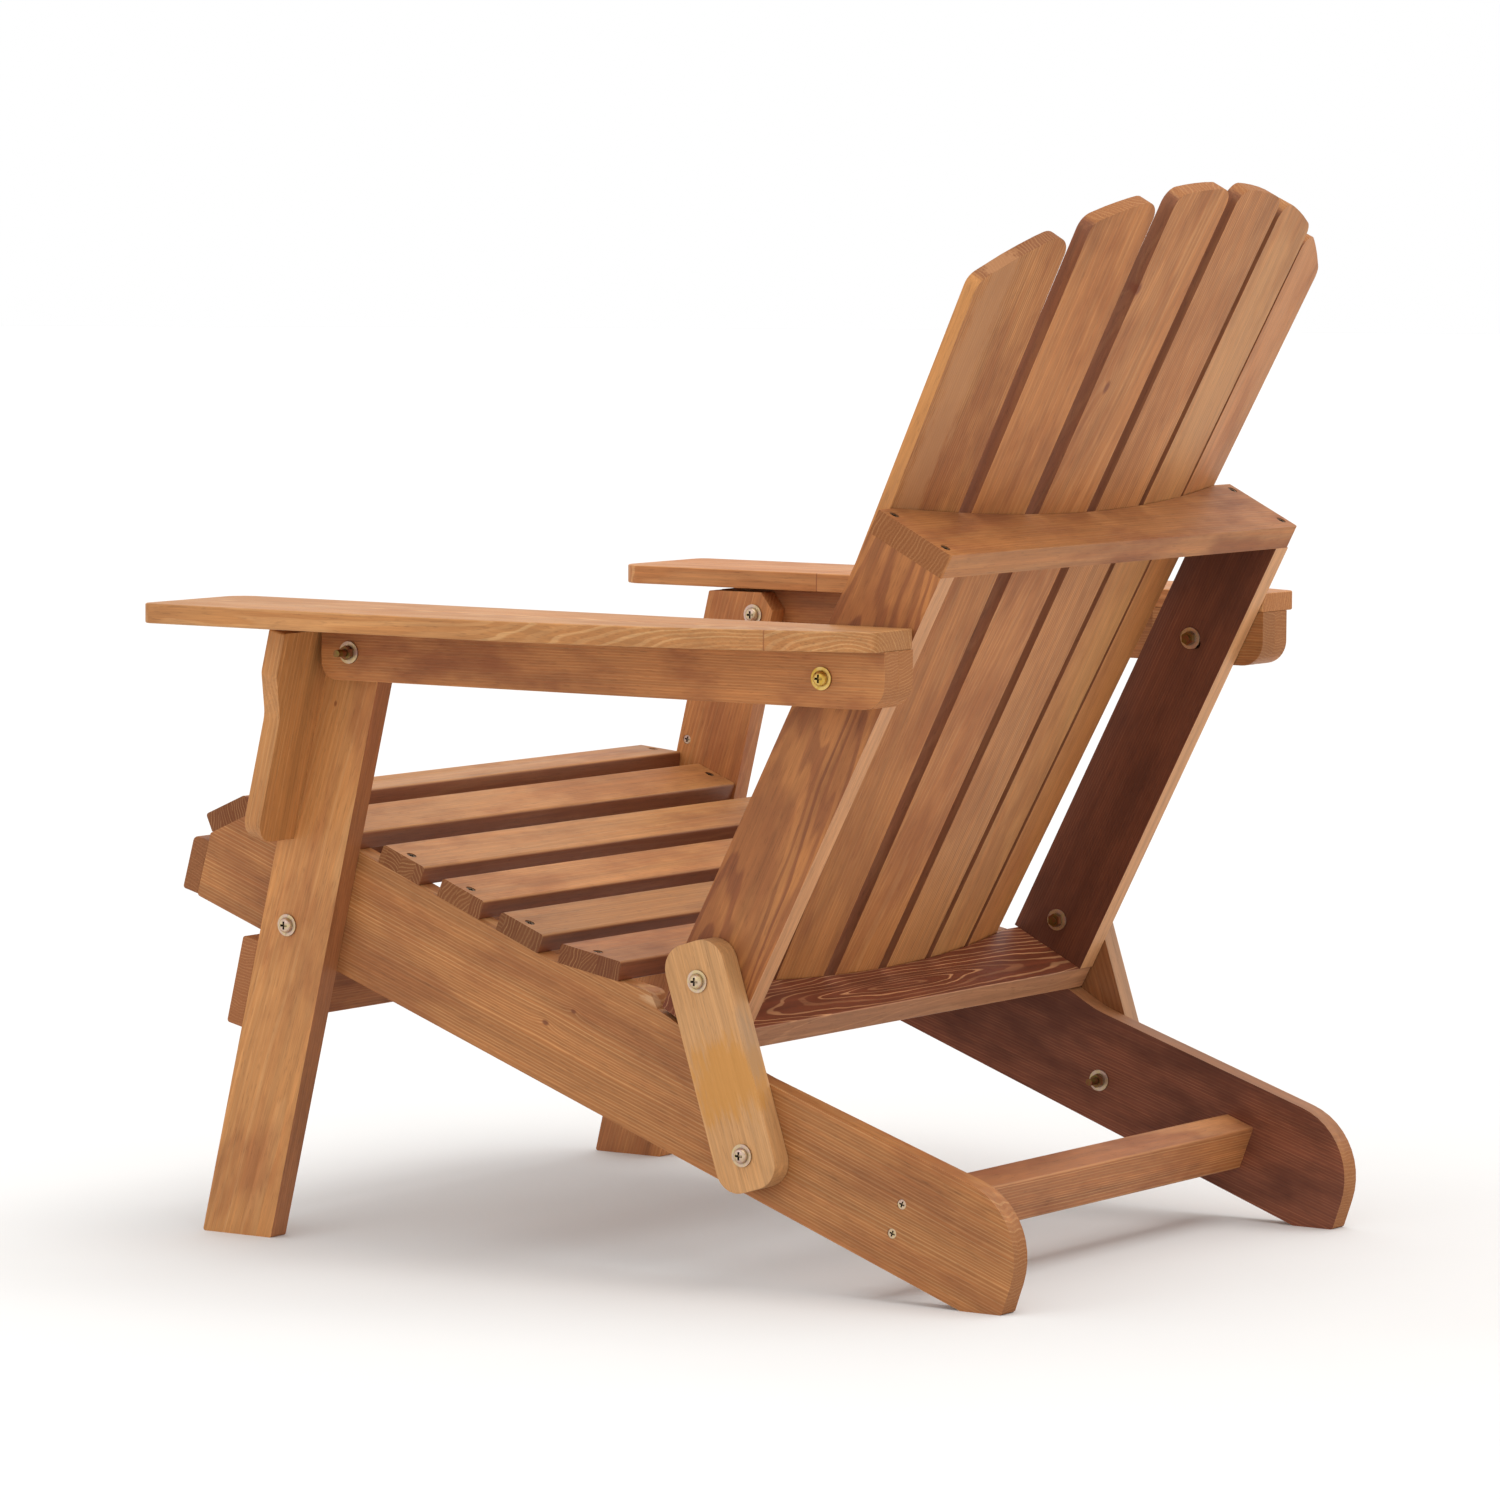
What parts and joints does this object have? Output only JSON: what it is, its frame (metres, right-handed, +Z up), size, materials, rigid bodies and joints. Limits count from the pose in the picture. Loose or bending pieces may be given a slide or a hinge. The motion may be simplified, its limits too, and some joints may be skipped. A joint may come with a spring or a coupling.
{
  "type": "folding adirondack chair",
  "caption": "Folding adirondack chair in stained softwood with a sloping slatted seat, wide flat armrests and a tall arched slat back.",
  "frame": {"origin": "centre of the open chair's footprint box, on the floor", "axes": "+Z up, +Y towards the back of the chair, +X towards the sitter's left hand"},
  "size_m": [0.804, 0.8303, 0.8643],
  "materials": {
    "frame_wood": "satin",
    "seat_wood": "satin",
    "back_wood": "satin",
    "armrest_wood": "satin",
    "pale_wood": "satin",
    "zinc": "zinc plated",
    "yellow_zinc": "yellow zinc plated",
    "dark_steel": "dark, weathered"
  },
  "bodies": {
    "seat_frame": {"rail_left": "frame_wood", "rail_right": "frame_wood", "seat_slat_1": "seat_wood", "seat_slat_2": "seat_wood", "seat_slat_3": "seat_wood", "seat_slat_4": "seat_wood", "seat_slat_5": "seat_wood", "seat_slat_6": "seat_wood", "seat_slat_7": "seat_wood", "apron": "seat_wood", "rear_stretcher": "frame_wood", "seat_screws": "dark_steel", "stretcher_screws": "zinc", "link_lower_bolts": "zinc"},
    "front_legs": {"leg_left": "frame_wood", "leg_right": "frame_wood", "bracket_left": "frame_wood", "bracket_right": "frame_wood", "front_stretcher": "frame_wood", "leg_bolts": "zinc", "arm_front_bolts": "zinc", "bracket_screws": "zinc"},
    "arm_left": {"arm_rail_left": "frame_wood", "armrest_left": "armrest_wood", "arm_spacer_left": "frame_wood", "arm_rear_bolt_left": "yellow_zinc"},
    "arm_right": {"arm_rail_right": "frame_wood", "armrest_right": "armrest_wood", "arm_spacer_right": "frame_wood", "arm_rear_bolt_right": "yellow_zinc"},
    "link_left": {"link_left": "pale_wood"},
    "link_right": {"link_right": "pale_wood"},
    "back": {"upright_left": "frame_wood", "upright_right": "frame_wood", "top_brace": "frame_wood", "bottom_brace": "frame_wood", "back_slat_1": "back_wood", "back_slat_2": "back_wood", "back_slat_3": "back_wood", "back_slat_4": "back_wood", "back_slat_5": "back_wood", "back_slat_6": "back_wood", "brace_screws": "dark_steel", "link_upper_bolts": "zinc"}
  },
  "joints": [
    {"name": "legs_fold", "type": "hinge", "parent": "seat_frame", "child": "front_legs", "pos_m": [0, -0.29165, 0.258], "axis": [1, 0, 0], "range_deg": [0, 83]},
    {"name": "arm_left_fold", "type": "hinge", "parent": "front_legs", "child": "arm_left", "pos_m": [0.303, -0.21385, 0.4845], "axis": [1, 0, 0], "range_deg": [-74.9, 0]},
    {"name": "arm_right_fold", "type": "hinge", "parent": "front_legs", "child": "arm_right", "pos_m": [-0.303, -0.21385, 0.4845], "axis": [1, 0, 0], "range_deg": [-74.9, 0]},
    {"name": "link_left_fold", "type": "hinge", "parent": "seat_frame", "child": "link_left", "pos_m": [0.2825, 0.15285, 0.1069], "axis": [1, 0, 0], "range_deg": [-13.8, 0]},
    {"name": "link_right_fold", "type": "hinge", "parent": "seat_frame", "child": "link_right", "pos_m": [-0.2825, 0.15285, 0.1069], "axis": [1, 0, 0], "range_deg": [-13.8, 0]},
    {"name": "back_fold", "type": "hinge", "parent": "link_left", "child": "back", "pos_m": [0, 0.11025, 0.2404], "axis": [1, 0, 0], "range_deg": [0, 91.2]}
  ],
  "couplings": [
    {"joint": "arm_left_fold", "follows": "legs_fold", "ratio": -0.9013},
    {"joint": "arm_right_fold", "follows": "legs_fold", "ratio": -0.9013},
    {"joint": "link_left_fold", "follows": "legs_fold", "ratio": -0.1658},
    {"joint": "link_right_fold", "follows": "legs_fold", "ratio": -0.1658},
    {"joint": "back_fold", "follows": "legs_fold", "ratio": 1.0982}
  ]
}
